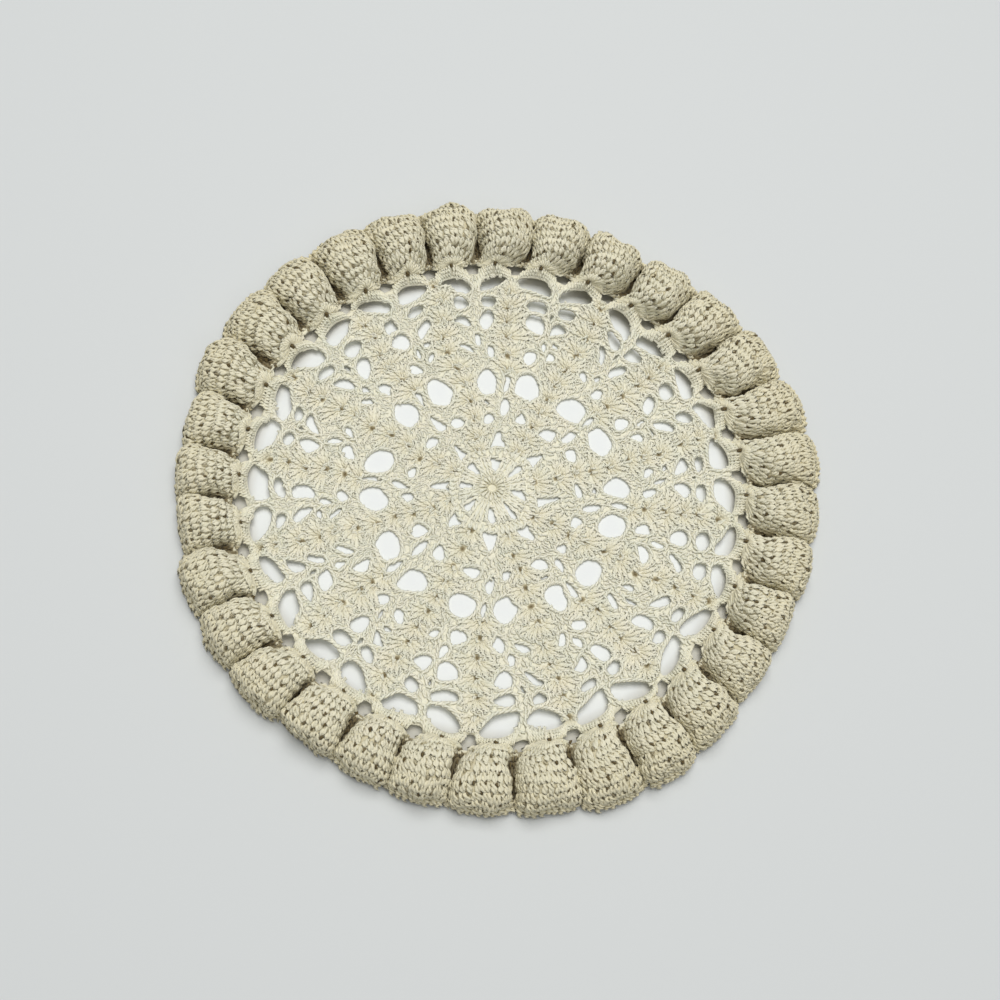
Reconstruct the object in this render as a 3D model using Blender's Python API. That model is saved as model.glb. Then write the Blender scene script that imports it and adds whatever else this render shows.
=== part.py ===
"""Round crocheted lace doily with a gathered shell frill, lying flat on a table.

One sheet of cloth: an openwork centre that lies on the table and lifts towards its rim,
and a frill worked on from it, gathered into 32 stood-up shells with a deep groove between
each two. The tables are in millimetres and degrees, the mesh in metres. +Z is up, and the
origin is on the table under the middle of the lace. A turn is an angle counted round the
doily from its first spoke.
"""

import math

import bmesh
import bpy
from mathutils import Vector
from mathutils.geometry import delaunay_2d_cdt

MM = 0.001

# Driving sizes, in millimetres and degrees
CLOTH = 1.8  # thickness of the worked cloth
NET_RADIUS = 73.0  # where the frill starts
NET_FLAT = 52.0  # the lace lies on the table inside this radius
SPOKES = 16
SHELLS = 32
SPOKE_PITCH = 360 / SPOKES
SHELL_PITCH = 360 / SHELLS
FIRST_SPOKE = 122.8  # direction of the first spoke, and of a groove of the frill
SPOKE_LINE = 60.0  # a spoke has all of its drift from this radius outwards
SHELL_LINE = 84.5  # a shell has all of its lean and reach from this radius outwards
FOLD_ANGLE = 50.0  # edges sharper than this are creased
CUT_TOLERANCE = 1e-6  # points of the lace closer than this are one

# The frill from its foot outwards: radius and height of the middle of the cloth, on the crest of
# a shell and along the bottom of a groove, and the share of a shell's own rise that this row has
FRILL_ROWS = (
    # name, crest_out, crest_up, groove_out, groove_up, risen
    ("foot", NET_RADIUS, 4.0, NET_RADIUS, 3.0, 1.0),
    ("rise", 77.0, 8.0, 77.0, 2.6, 1.0),
    ("shoulder", 81.5, 11.3, 81.5, 1.8, 1.0),
    ("top", 87.0, 12.4, 85.5, 1.1, 1.0),
    ("brow", 91.3, 10.6, 88.5, CLOTH / 2, 1.0),
    ("flank", 93.6, 6.8, 90.5, CLOTH / 2, 0.7),
    ("edge", 93.6, 2.8, 91.8, CLOTH / 2, 0.0),
)

# One shell from groove to groove: distance along the round from the nearer groove, on the face
# and on the underside of the cloth, minus before the next groove, and the share of the crest
SHELL_COLUMNS = (
    # name, across_face, across_under, share
    ("groove", 0.0, 0.0, 0.0),
    ("lip", 1.5, 2.9, 0.80),
    ("side", 4.6, 5.1, 0.97),
    ("crest", None, None, 1.0),
    ("far_side", -4.6, -5.1, 0.97),
    ("far_lip", -1.5, -2.9, 0.80),
)

# Openings of the lace that are wide enough to model. A line is a turn that comes back all the
# way round; a gap lies on it, or with another one on both sides of it
GAPS = (
    # name, out, first_line, every, off_line, half_across, half_along, corners
    ("centre_gap", 16.4, 22.5, 45.0, 0.0, 2.1, 3.2, 6),
    ("knot_gap", 29.4, 22.5, 45.0, 0.0, 2.2, 2.8, 6),
    ("great_gap", 37.0, 22.5, 45.0, 9.3, 3.8, 4.0, 8),
    ("leaf_gap", 56.6, 11.25, 22.5, 4.3, 2.8, 2.7, 6),
    ("ladder_gap", 63.4, 11.25, 22.5, 4.3, 2.8, 1.9, 6),
    ("arch_gap", 69.9, 5.625, 11.25, 0.0, 5.1, 2.2, 6),
)

# Rings of points between the openings, which keep the cloth's cells even
NET_RINGS = (
    # out, count
    (8.0, 8),
    (22.5, 24),
    (43.5, 48),
    (51.0, 64),
)

# Degrees that each spoke has drifted round from its even place, from the first spoke on
SPOKE_DRIFT = (
    -0.4, -0.9, -1.1, -0.7, -0.6, -0.2, -1.0, 0.0, 0.1, 0.3, 0.9, 1.0, 0.4, 0.1, 0.5, 1.2,
)

# Each shell of the frill, from the first spoke on: degrees that its crest leans round, and
# millimetres that it reaches out and rises past its even place
SHELL_SHAPES = (
    # lean, reach, rise
    (-2.2, -0.4, 0.6), (-1.6, -1.0, 0.3), (-1.4, 0.0, 0.0), (-1.8, 1.5, -0.4),
    (-0.4, 1.0, 0.2), (-0.5, -0.5, -0.3), (-0.7, -1.0, 0.1), (-2.7, -1.8, -0.5),
    (-1.6, 1.0, 0.0), (-2.4, 0.2, 0.4), (-2.4, 0.8, -0.3), (-1.7, -0.8, 0.2),
    (-1.8, -1.0, -0.2), (-2.8, -0.4, 0.3), (-2.8, -0.4, -0.4), (-2.8, 0.0, 0.0),
    (-2.1, 1.6, -0.6), (-3.1, 1.8, 0.1), (-3.0, 0.6, 0.4), (-2.9, -1.0, -0.2),
    (-2.5, -1.0, 0.3), (-2.8, 0.2, -0.3), (-2.8, -0.2, 0.0), (-3.2, 0.8, 0.2),
    (-3.6, 1.6, -0.2), (-3.8, 0.6, 0.5), (-3.4, -0.6, 0.2), (-3.7, -1.6, 0.5),
    (-2.9, -1.8, 0.9), (-2.0, -1.8, 0.7), (-1.8, -1.7, 1.0), (-1.1, -0.8, 0.8),
)

# Stretches where the rim of the lace and the frill are held higher off the table
RAISED = (
    # direction, half_spread, lift
    (88.0, 45.0, 1.8),
    (240.0, 25.0, 1.2),
)

COTTON_COLOUR = (0.62, 0.59, 0.47, 1.0)
COTTON_ROUGHNESS = 0.9


def smooth(share):
    """Soft step from 0 to 1."""
    share = min(max(share, 0.0), 1.0)
    return share * share * (3 - 2 * share)


def rim_lift(turn):
    """Extra height of the rim at a turn, where the cloth is held up."""
    lift = 0.0
    for middle, half_spread, height in RAISED:
        away = abs((FIRST_SPOKE + turn - middle + 180) % 360 - 180)
        lift += height * smooth(1 - away / half_spread)
    return lift


def drift(turn, out):
    """Degrees that a point of the lace has moved round from its even place."""
    place = turn / SPOKE_PITCH
    spoke = math.floor(place)
    part = place - spoke
    before, after = SPOKE_DRIFT[spoke % SPOKES], SPOKE_DRIFT[(spoke + 1) % SPOKES]
    return (before * (1 - part) + after * part) * smooth(out / SPOKE_LINE)


def lean(turn):
    """Degrees that the frill leans round at a turn, even between the crests of two shells."""
    place = turn / SHELL_PITCH - 0.5
    shell = math.floor(place)
    part = place - shell
    before, after = SHELL_SHAPES[shell % SHELLS][0], SHELL_SHAPES[(shell + 1) % SHELLS][0]
    return before * (1 - part) + after * part


def net_up(turn, out):
    """Height of the middle of the cloth over the table, inside the frill."""
    _, _, crest_up, _, groove_up, _ = FRILL_ROWS[0]
    wave = 0.5 - 0.5 * math.cos(math.radians(turn * SHELLS))
    rim = groove_up + (crest_up - groove_up) * wave + rim_lift(turn)
    share = smooth((out - NET_FLAT) / (NET_RADIUS - NET_FLAT))
    return CLOTH / 2 + (rim - CLOTH / 2) * share


def flat_point(turn, out):
    """A point in the flat, in millimetres."""
    direction = math.radians(FIRST_SPOKE + turn)
    return Vector((out * math.cos(direction), out * math.sin(direction)))


def gap_outline(turn, out, half_across, half_along, corners):
    """Corners of one opening in the flat, pointed along its longer side."""
    middle = flat_point(turn + drift(turn, out), out)
    along = middle.normalized()
    across = Vector((-along.y, along.x))
    start = 0.0 if half_across > half_along else math.pi / 2
    outline = []
    for corner in range(corners):
        angle = start + math.tau * corner / corners
        reach = across * (half_across * math.cos(angle)) + along * (half_along * math.sin(angle))
        outline.append(middle + reach)
    return outline


def gap_outlines():
    """Every opening of the lace, as corners in the flat."""
    outlines = []
    for _, out, first_line, every, off_line, half_across, half_along, corners in GAPS:
        sides = (1, -1) if off_line else (1,)
        for step in range(round(360 / every)):
            for side in sides:
                turn = first_line + every * step + side * off_line
                outlines.append(gap_outline(turn, out, half_across, half_along, corners))
    return outlines


def inside(place, outline):
    """Whether a place lies within a convex outline that runs either way round."""
    sides = set()
    for start, end in zip(outline, outline[1:] + outline[:1]):
        sides.add((end - start).cross(place - start) > 0)
    return len(sides) == 1


def profile(outs, ups):
    """Face and underside along a line of the frill: its middle moved half the cloth both ways."""
    face, under = [], []
    for row in range(len(outs)):
        before, after = max(row - 1, 0), min(row + 1, len(outs) - 1)
        along = Vector((outs[after] - outs[before], ups[after] - ups[before])).normalized()
        normal = Vector((-along.y, along.x)) * (CLOTH / 2)
        middle = Vector((outs[row], ups[row]))
        face.append(middle + normal)
        under.append(middle - normal)
    return face, under


def frill_point(shell, row, across, share, high, low):
    """One point of the frill, between its crest's place and its groove's place in this row."""
    _, crest_out, _, _, _, risen = FRILL_ROWS[row]
    _, reach, rise = SHELL_SHAPES[shell]
    grown = smooth((crest_out - NET_RADIUS) / (SHELL_LINE - NET_RADIUS))
    place = low.lerp(high, share)
    turn = shell * SHELL_PITCH
    if across is None:
        turn += SHELL_PITCH / 2
    else:
        turn += math.degrees(across / place.x) + (SHELL_PITCH if across < 0 else 0.0)
    lift = rim_lift(turn) * max(share, 1 - grown) + rise * grown * share
    turn += lean(turn) * grown + drift(turn, NET_RADIUS) * (1 - grown)
    spot = flat_point(turn, place.x + reach * grown * share)
    return Vector((spot.x, spot.y, place.y + lift * risen)) * MM


def frill_lines():
    """The lines of the frill in order round the doily, each from foot to edge as (face, under)."""
    crest = profile([row[1] for row in FRILL_ROWS], [row[2] for row in FRILL_ROWS])
    groove = profile([row[3] for row in FRILL_ROWS], [row[4] for row in FRILL_ROWS])
    lines = []
    for shell in range(SHELLS):
        for _, across_face, across_under, share in SHELL_COLUMNS:
            line = []
            for row in range(len(FRILL_ROWS)):
                face = frill_point(shell, row, across_face, share, crest[0][row], groove[0][row])
                under = frill_point(shell, row, across_under, share, crest[1][row], groove[1][row])
                line.append((face, under))
            lines.append(line)
    return lines


def net_cells(rim):
    """The lace in the flat, cut into triangles between its openings and the given rim."""
    outlines = gap_outlines()
    places = [Vector((0.0, 0.0))]
    for out, count in NET_RINGS:
        places += [flat_point(360 * step / count, out) for step in range(count)]
    edges = []
    for loop in [rim] + outlines:
        first = len(places)
        places += loop
        edges += [(first + i, first + (i + 1) % len(loop)) for i in range(len(loop))]
    inside_only = 1
    flat, _, triangles, *_ = delaunay_2d_cdt(places, edges, [], inside_only, CUT_TOLERANCE)
    kept = []
    for triangle in triangles:
        middle = sum((flat[i] for i in triangle), Vector((0.0, 0.0))) / 3
        if not any(inside(middle, outline) for outline in outlines):
            kept.append(triangle)
    return flat, kept


def make_cotton():
    """Plain cream cotton thread."""
    cotton = bpy.data.materials.new("cream_cotton")
    cotton.use_nodes = True
    shader = cotton.node_tree.nodes["Principled BSDF"]
    shader.inputs["Base Color"].default_value = COTTON_COLOUR
    shader.inputs["Roughness"].default_value = COTTON_ROUGHNESS
    shader.inputs["Metallic"].default_value = 0.0
    cotton.diffuse_color = COTTON_COLOUR
    return cotton


def add_frill(shape, under):
    """The face of the frill as a grid of cells. Returns its lines of vertices."""
    grid = []
    for line in frill_lines():
        verts = []
        for face, underside in line:
            vert = shape.verts.new(face)
            vert[under] = underside
            verts.append(vert)
        grid.append(verts)
    for line, following in zip(grid, grid[1:] + grid[:1]):
        for row in range(len(FRILL_ROWS) - 1):
            shape.faces.new((line[row], line[row + 1], following[row + 1], following[row]))
    return grid


def add_net(shape, under, grid):
    """The face of the lace, joined to the foot of the frill."""
    rim = [(line[0].co / MM).to_2d() for line in grid]
    flat, triangles = net_cells(rim)
    foot = {place.to_tuple(3): line[0] for place, line in zip(rim, grid)}
    net = []
    for place in flat:
        vert = foot.get(place.to_tuple(3))
        if vert is None:
            turn = math.degrees(math.atan2(place.y, place.x)) - FIRST_SPOKE
            up = net_up(turn, place.length)
            vert = shape.verts.new(Vector((place.x, place.y, up + CLOTH / 2)) * MM)
            vert[under] = Vector((place.x, place.y, up - CLOTH / 2)) * MM
        net.append(vert)
    for triangle in triangles:
        shape.faces.new([net[i] for i in triangle])


def make_doily():
    """The lace and its frill as one face, whose underside is then drawn out of it."""
    shape = bmesh.new()
    under = shape.verts.layers.float_vector.new("under")
    grid = add_frill(shape, under)
    add_net(shape, under, grid)
    drawn = bmesh.ops.extrude_face_region(shape, geom=shape.faces[:], use_keep_orig=True)
    for vert in (item for item in drawn["geom"] if isinstance(item, bmesh.types.BMVert)):
        vert.co = vert[under]
    bmesh.ops.recalc_face_normals(shape, faces=shape.faces[:])

    mesh = bpy.data.meshes.new("lace_doily")
    shape.to_mesh(mesh)
    shape.free()
    mesh.shade_smooth()
    mesh.set_sharp_from_angle(angle=math.radians(FOLD_ANGLE))
    mesh.materials.append(make_cotton())
    doily = bpy.data.objects.new("lace_doily", mesh)
    bpy.context.scene.collection.objects.link(doily)


def main():
    for obj in list(bpy.data.objects):
        bpy.data.objects.remove(obj, do_unlink=True)
    make_doily()


main()
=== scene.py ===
# %% [markdown]
# # A round crocheted doily with a frill of stood-up shells
# The doily is worked from the middle outwards in cream cotton thread: spokes of small shell
# stitches with chain loops between them, a round of arches, and then a frill that holds far more
# stitches than its round has room for, so that it stands up in 32 full shells. It is one cloth
# that lies on a table, and everything below is made of a few stitches that are modelled once.

# %% The frame
import math

import bpy
import numpy as np
from mathutils import Matrix, Vector
from mathutils.geometry import delaunay_2d_cdt
from mathutils.kdtree import KDTree


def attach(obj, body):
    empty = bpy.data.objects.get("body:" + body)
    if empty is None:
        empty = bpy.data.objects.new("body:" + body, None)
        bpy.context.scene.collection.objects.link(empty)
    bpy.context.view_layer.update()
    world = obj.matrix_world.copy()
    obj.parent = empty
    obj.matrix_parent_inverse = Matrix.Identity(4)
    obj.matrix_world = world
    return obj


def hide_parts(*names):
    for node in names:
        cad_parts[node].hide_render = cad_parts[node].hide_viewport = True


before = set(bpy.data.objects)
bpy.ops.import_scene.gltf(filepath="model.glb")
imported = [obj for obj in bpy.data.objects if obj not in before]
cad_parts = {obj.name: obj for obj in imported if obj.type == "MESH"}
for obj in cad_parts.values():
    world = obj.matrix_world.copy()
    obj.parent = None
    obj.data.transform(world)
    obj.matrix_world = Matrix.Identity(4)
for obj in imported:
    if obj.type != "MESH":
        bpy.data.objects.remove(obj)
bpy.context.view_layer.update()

# %% [markdown]
# ## Sizes
# All sizes are in millimetres and degrees, and become metres only when a mesh is made. A turn is
# an angle counted round the doily from its first spoke. The tables are the cloth's own shape: the
# frill's outline over a shell and along a groove, and what makes each shell a little different.

# %% Sizes of the cloth
MM = 0.001
CLOTH = 1.5
NET_RADIUS, NET_FLAT = 73.0, 52.0  # the lace inside the frill, and how much of it lies flat
RIM_UP = 2.4
SPOKES, SHELLS = 16, 32
SPOKE_PITCH, SHELL_PITCH = 360 / SPOKES, 360 / SHELLS
REPEATS, REPEAT_PITCH = 8, 45.0
FIRST_SPOKE = 122.8
SPOKE_LINE, SHELL_LINE = 60.0, 82.0  # from where spokes and shells have their own full differences
ANY_PHASE = (0, 6.28)

# The middle of the cloth from the frill's foot to its edge: over a shell's crest, along a groove,
# the half width of the groove's floor, and how much of the shell's own rise and skirt it has
FRILL_ROWS = np.array((
    # crest_out, crest_up, groove_out, groove_up, floor, risen, edge
    (73.0, 3.4, 73.0, 2.4, 1.6, 1.0, 0.0),
    (77.0, 7.8, 77.0, 2.3, 2.2, 1.0, 0.0),
    (81.0, 11.4, 80.6, 1.9, 1.7, 1.0, 0.0),
    (86.8, 12.5, 85.5, 1.3, 0.6, 1.0, 0.0),
    (91.4, 10.9, 89.2, 1.1, 0.4, 1.0, 0.2),
    (93.7, 6.8, 90.6, 1.0, 0.3, 0.7, 0.7),
    (93.9, 2.4, 90.9, 1.0, 0.3, 0.0, 1.0),
))
SPOKE_DRIFT = np.array((
    -0.4, -0.9, -1.1, -0.7, -0.6, -0.2, -1.0, 0.0, 0.1, 0.3, 0.9, 1.0, 0.4, 0.1, 0.5, 1.2,
))
# How far each shell leans round in degrees, reaches out, rises, and spreads at its edge
SHELL_SHAPES = np.array((
    # lean, reach, rise, skirt
    (-2.2, -0.4, 0.6, 2.8), (-1.6, -1.0, 0.3, 3.7), (-1.4, 0.0, 0.0, 2.6),
    (-1.8, 1.5, -0.4, 0.9), (-0.4, 1.0, 0.2, -0.1), (-0.5, -0.5, -0.3, -1.4),
    (-0.7, -1.0, 0.1, -1.0), (-2.7, -1.8, -0.5, -1.2), (-1.6, 1.0, 0.0, -2.1),
    (-2.4, 0.2, 0.4, -1.2), (-2.4, 0.8, -0.3, -2.1), (-1.7, -0.8, 0.2, -3.0),
    (-1.8, -1.0, -0.2, -1.4), (-2.8, -0.4, 0.3, -1.5), (-2.8, -0.4, -0.4, -0.9),
    (-2.8, 0.0, 0.0, -0.4), (-2.1, 1.6, -0.6, 0.1), (-3.1, 1.8, 0.1, 0.2),
    (-3.0, 0.6, 0.4, -0.3), (-2.9, -1.0, -0.2, -0.4), (-2.5, -1.0, 0.3, -0.1),
    (-2.8, 0.2, -0.3, 0.5), (-2.8, -0.2, 0.0, 2.8), (-3.2, 0.8, 0.2, 4.7),
    (-3.6, 1.6, -0.2, 4.3), (-3.8, 0.6, 0.5, 4.3), (-3.4, -0.6, 0.2, 4.2),
    (-3.7, -1.6, 0.5, 1.9), (-2.9, -1.8, 0.9, -0.3), (-2.0, -1.8, 0.7, 1.8),
    (-1.8, -1.7, 1.0, 2.0), (-1.1, -0.8, 0.8, 2.8),
))
RAISED = ((88.0, 45.0, 1.8), (240.0, 25.0, 1.2))  # direction, half_spread, lift
print("spokes are", SPOKE_PITCH, "and shells", SHELL_PITCH, "degrees apart")

# %% [markdown]
# ## The camera
# The camera comes first, because the whole doily is judged from it: it looks steeply down from
# the front, turned a little, as someone does who stands at the table.

# %% Camera
FOCAL_PIXELS, PICTURE_PIXELS, SENSOR = 1300.0, 1000.0, 36.0
CAMERA_ELEVATION, CAMERA_ROLL = math.radians(68.609), math.radians(-16.877)
CAMERA_DISTANCE, CAMERA_SHIFT = 387.395, (1.798, -1.288)


def camera_axes():
    """Right, up and backward of the camera."""
    right = Vector((1.0, 0.0, 0.0))
    up = Vector((0.0, math.sin(CAMERA_ELEVATION), math.cos(CAMERA_ELEVATION)))
    back = Vector((0.0, -math.cos(CAMERA_ELEVATION), math.sin(CAMERA_ELEVATION)))
    cosine, sine = math.cos(CAMERA_ROLL), math.sin(CAMERA_ROLL)
    return right * cosine - up * sine, right * sine + up * cosine, back


def add_camera():
    data = bpy.data.cameras.new("table_camera")
    data.sensor_width = SENSOR
    data.lens = FOCAL_PIXELS / PICTURE_PIXELS * SENSOR
    camera = bpy.data.objects.new("table_camera", data)
    bpy.context.scene.collection.objects.link(camera)
    right, up, back = camera_axes()
    place = back * CAMERA_DISTANCE + Vector((*CAMERA_SHIFT, 0.0))
    rows = [(right[i], up[i], back[i], place[i] * MM) for i in range(3)]
    camera.matrix_world = Matrix((*rows, (0.0, 0.0, 0.0, 1.0)))
    bpy.context.scene.camera = camera
    return camera


camera = add_camera()
print("camera at", tuple(round(x, 3) for x in camera.matrix_world.translation))

# %% [markdown]
# ## The table and the light
# The table is one pale matt board. Below the lace it is painted whiter, as painted light, and
# below the frill darker and warmer, as painted warm shade for light that comes through the
# cotton. A very large lamp stands high behind the doily, so every hole has a soft shadow on its
# far side; a weaker one in front on the right and an even pale sky fill the shade.

# %% Table and light
TABLE_HALF = 2.0
# the board's whiter colour is painted light below the lace, its warmer one painted warm shade
PAINTED_LIGHT_WHITE, PAINTED_WARM_SHADE, PLAIN = (0.87, 0.888, 0.872, 1.0), (0.66, 0.64, 0.56, 1.0), (0.70, 0.72, 0.713, 1.0)
# the board's colours by distance from the middle, in parts of BOARD_ROUND metres
BOARD_ROUND = 0.1
BOARD_COLOURS = ((0.70, PAINTED_LIGHT_WHITE), (0.745, PAINTED_WARM_SHADE), (0.84, PAINTED_WARM_SHADE), (0.90, PLAIN))
BOARD_FINISH = {"Roughness": 0.6, "Specular IOR Level": 0.2}
LAMPS = (("key", (-0.06, 0.3, 1.3), 0.8, 12.6), ("fill", (0.5, -0.5, 1.1), 0.9, 1.7))
SKY = {"Color": (0.98, 0.99, 1.0, 1.0), "Strength": 0.27}


def set_inputs(node, values):
    """Set a node's inputs to values, or link them where the value is another node's output."""
    for name, value in values.items():
        if isinstance(value, bpy.types.NodeSocket):
            node.id_data.links.new(value, node.inputs[name])
        else:
            node.inputs[name].default_value = value


def add_node(tree, kind, inputs, **settings):
    """A new shader node with its settings and inputs."""
    node = tree.nodes.new("ShaderNode" + kind)
    for name, value in settings.items():
        setattr(node, name, value)
    set_inputs(node, inputs)
    return node


def new_material(name, finish):
    material = bpy.data.materials.new(name)
    material.use_nodes = True
    shader = material.node_tree.nodes["Principled BSDF"]
    set_inputs(shader, finish)
    return material, material.node_tree, shader


def add_table():
    bpy.ops.object.select_all(action="DESELECT")
    bpy.ops.mesh.primitive_plane_add(size=2 * TABLE_HALF, location=(0, 0, 0))
    table = bpy.context.object
    table.name = "table_top"
    board, tree, shader = new_material("white_board", BOARD_FINISH)
    place = add_node(tree, "TexCoord", {}).outputs["Object"]
    far = add_node(tree, "VectorMath", {0: place}, operation="LENGTH").outputs["Value"]
    share = add_node(tree, "MapRange", {"From Max": BOARD_ROUND, "Value": far}).outputs["Result"]
    # a ramp of painted light below the lace and painted warm shade below the frill
    rounds = add_node(tree, "ValToRGB", {"Fac": share})
    stops = rounds.color_ramp.elements
    stops[0].color, stops[1].color = PAINTED_LIGHT_WHITE, PLAIN
    for position, colour in BOARD_COLOURS:
        stops.new(position).color = colour
    set_inputs(shader, {"Base Color": rounds.outputs["Color"]})
    table.data.materials.append(board)
    return table


def add_light():
    for name, place, size, power in LAMPS:
        data = bpy.data.lights.new(name, "AREA")
        data.size, data.energy = size, power
        lamp = bpy.data.objects.new(name, data)
        lamp.location = place
        lamp.rotation_euler = (-Vector(place)).to_track_quat("-Z", "Y").to_euler()
        bpy.context.scene.collection.objects.link(lamp)
    world = bpy.data.worlds.new("pale_sky")
    world.use_nodes = True
    set_inputs(world.node_tree.nodes["Background"], SKY)
    bpy.context.scene.world = world
    bpy.context.scene.view_settings.view_transform = "Standard"


print("table:", add_table().name)
add_light()

# %% [markdown]
# ## The cloth's surface
# Every stitch lies on one smooth surface, the middle of the cloth. Inside the frill it is a
# height over a place, because that part lies nearly flat. The numbers are arrays, so that a
# thousand stitches are placed at once.

# %% Where the lace lies
def smooth(share):
    """Soft step from 0 to 1."""
    share = np.clip(share, 0.0, 1.0)
    return share * share * (3 - 2 * share)


def unit_length(vectors):
    return vectors / (np.linalg.norm(vectors, axis=-1, keepdims=True) + 1e-12)


def rim_lift(turn):
    """Extra height of the rim at a turn, where the cloth is held up."""
    lift = 0.0
    for middle, half_spread, height in RAISED:
        away = np.abs((FIRST_SPOKE + turn - middle + 180) % 360 - 180)
        lift = lift + height * smooth(1 - away / half_spread)
    return lift


def between(table, place):
    """Value of a table that runs on round the doily, at a place between its entries."""
    before = np.floor(place).astype(int)
    part = place - before
    return table[before % len(table)] * (1 - part) + table[(before + 1) % len(table)] * part


def drift(turn, out):
    """Degrees that a point of the lace has moved round from its even place."""
    return between(SPOKE_DRIFT, turn / SPOKE_PITCH) * smooth(out / SPOKE_LINE)


def net_up(turn, out):
    """Height of the middle of the cloth over the table, inside the frill."""
    wave = 0.5 - 0.5 * np.cos(np.radians(turn * SHELLS))
    rim = RIM_UP + wave + rim_lift(turn)
    return CLOTH / 2 + (rim - CLOTH / 2) * smooth((out - NET_FLAT) / (NET_RADIUS - NET_FLAT))


MIDDLE_PULL, MIDDLE_PULLED_TO = (-1.5, 1.5), 30.0
PULL_LENGTHS, PULL_SIZE = (16, 19, 23, 27, 32, 38, 45, 55), 0.32
rng = np.random.default_rng(41)
PULLS = [
    # wave vector in 1/mm, phase, pull in mm
    (rng.normal(0, 1, 2) * 2 * math.pi / length, rng.uniform(*ANY_PHASE),
     rng.normal(0, PULL_SIZE, 2))
    for length in PULL_LENGTHS
]


def lace_point(turn, out, above=0.0):
    """Places on the lace, pulled a little this way and that as hand work is."""
    here = np.radians(FIRST_SPOKE + turn + drift(turn, out))
    off = 1 - smooth(out / MIDDLE_PULLED_TO)
    x, y = out * np.cos(here) + MIDDLE_PULL[0] * off, out * np.sin(here) + MIDDLE_PULL[1] * off
    loose = smooth(out / 8) * smooth((NET_RADIUS - out) / 6)
    pull_x = pull_y = 0.0
    for wave, phase, pull in PULLS:
        swing = np.sin(wave[0] * x + wave[1] * y + phase)
        pull_x, pull_y = pull_x + pull[0] * swing, pull_y + pull[1] * swing
    up = net_up(np.degrees(here) - FIRST_SPOKE, out) + above
    return np.stack((x + pull_x * loose, y + pull_y * loose, up + 0 * x), -1)


print("the rim is lifted by up to", round(float(rim_lift(np.arange(360.0)).max()), 2), "mm")

# %% [markdown]
# ## The frill's surface
# The frill can't be a height over a place, because its shells lean out and stand with upright
# walls. It is a sheet of lines instead: along each shell runs an outline from foot to edge, and
# across it a wave that is broad on top and steep at the sides. Points are spaced by their real
# distance along the wave, because stitches are all of one width.

# %% Lines and waves
ALONG, ACROSS, FULLNESS = 61, 65, 3.0
CURVE_PARTS = np.linspace(0, 1, 9)[:-1]


def soft_curve(a, b, c, d, part):
    """Points of a soft curve from b to c, with a before and d after them."""
    return 0.5 * (2 * b + (c - a) * part + (2 * a - 5 * b + 4 * c - d) * part**2
                  + (3 * b - a - 3 * c + d) * part**3)


def evenly(line, count):
    """The same line as count points, evenly spaced."""
    run = np.concatenate(([0], np.cumsum(np.linalg.norm(np.diff(line[:, :3], axis=0), axis=1))))
    at = np.linspace(0, run[-1], count)
    return np.stack([np.interp(at, run, line[:, i]) for i in range(line.shape[1])], -1)


def smooth_line(points, count):
    """A soft curve through points, as count points evenly spaced along it."""
    ends = np.vstack((2 * points[0] - points[1], points, 2 * points[-1] - points[-2]))
    fours = zip(ends, ends[1:], ends[2:], ends[3:])
    pieces = [soft_curve(*four, CURVE_PARTS[:, None]) for four in fours]
    return evenly(np.vstack(pieces + [points[-1:]]), count)


def wave_shape():
    """Half a wave as (place, height), both from 0 at the groove's floor to 1 at the crest."""
    angle = np.linspace(0, math.pi / 2, 40)
    power = 2 / FULLNESS
    return 1 - np.cos(angle) ** power, np.sin(angle) ** power


def frill_row(shell, outline):
    """One line across a shell, from groove to groove, as evenly spaced points."""
    crest_out, crest_up, groove_out, groove_up, floor, risen, edge = outline
    half = math.radians(SHELL_PITCH / 2) * crest_out
    grown = smooth((crest_out - NET_RADIUS) / (SHELL_LINE - NET_RADIUS))
    place, height = wave_shape()
    flat_wave = 0.5 - 0.5 * np.cos(math.pi * place)
    across = np.concatenate(([0], floor + (half - floor) * place)) / half
    share = np.concatenate(([0], flat_wave * (1 - grown) + height * grown))
    across = np.concatenate((across, 2 - across[-2::-1])) * SHELL_PITCH / 2
    share = np.concatenate((share, share[-2::-1]))
    lean, skirt = SHELL_SHAPES[:, 0], SHELL_SHAPES[:, 3]
    reach, rise = SHELL_SHAPES[shell, 1], SHELL_SHAPES[shell, 2]
    turn = shell * SHELL_PITCH + across
    out = groove_out + (crest_out - groove_out) * share + reach * grown * share
    out = out + between(skirt, turn / SHELL_PITCH - 0.5) * edge
    up = groove_up + (crest_up - groove_up) * share
    up = up + (rim_lift(turn) * np.maximum(share, 1 - grown) + rise * grown * share) * risen
    turn = turn + between(lean, turn / SHELL_PITCH - 0.5) * grown
    turn = turn + drift(turn, NET_RADIUS) * (1 - grown)
    here = np.radians(FIRST_SPOKE + turn)
    return evenly(np.stack((out * np.cos(here), out * np.sin(here), up), -1), ACROSS)


# %% Where the frill lies
BUMP_LENGTHS, BUMP_SIZE = (9, 10, 12, 14, 17, 20), 0.22


def frill_normals(grid):
    return unit_length(np.cross(np.gradient(grid, axis=1), np.gradient(grid, axis=2)))


outline_rows = smooth_line(FRILL_ROWS, ALONG)
FRILL = np.stack([[frill_row(n, row) for row in outline_rows] for n in range(SHELLS)])
BUMPS = [
    (rng.normal(0, 1, 3) * 2 * math.pi / length, rng.uniform(*ANY_PHASE))
    for length in BUMP_LENGTHS
]
bumps = sum(np.sin(FRILL @ wave + phase) for wave, phase in BUMPS) * BUMP_SIZE
free = smooth((np.arange(ALONG) - 8) / 10)[None, :, None] * smooth((FRILL[..., 2] - 2.0) / 3)
FRILL = FRILL + frill_normals(FRILL) * (bumps * free)[..., None]
FRILL_NORMAL = frill_normals(FRILL)
OUTLINE_LENGTH = np.linalg.norm(np.diff(outline_rows[:, :2], axis=0), axis=1).sum()
print("frill outline over a crest is", round(OUTLINE_LENGTH, 1), "mm long")


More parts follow.
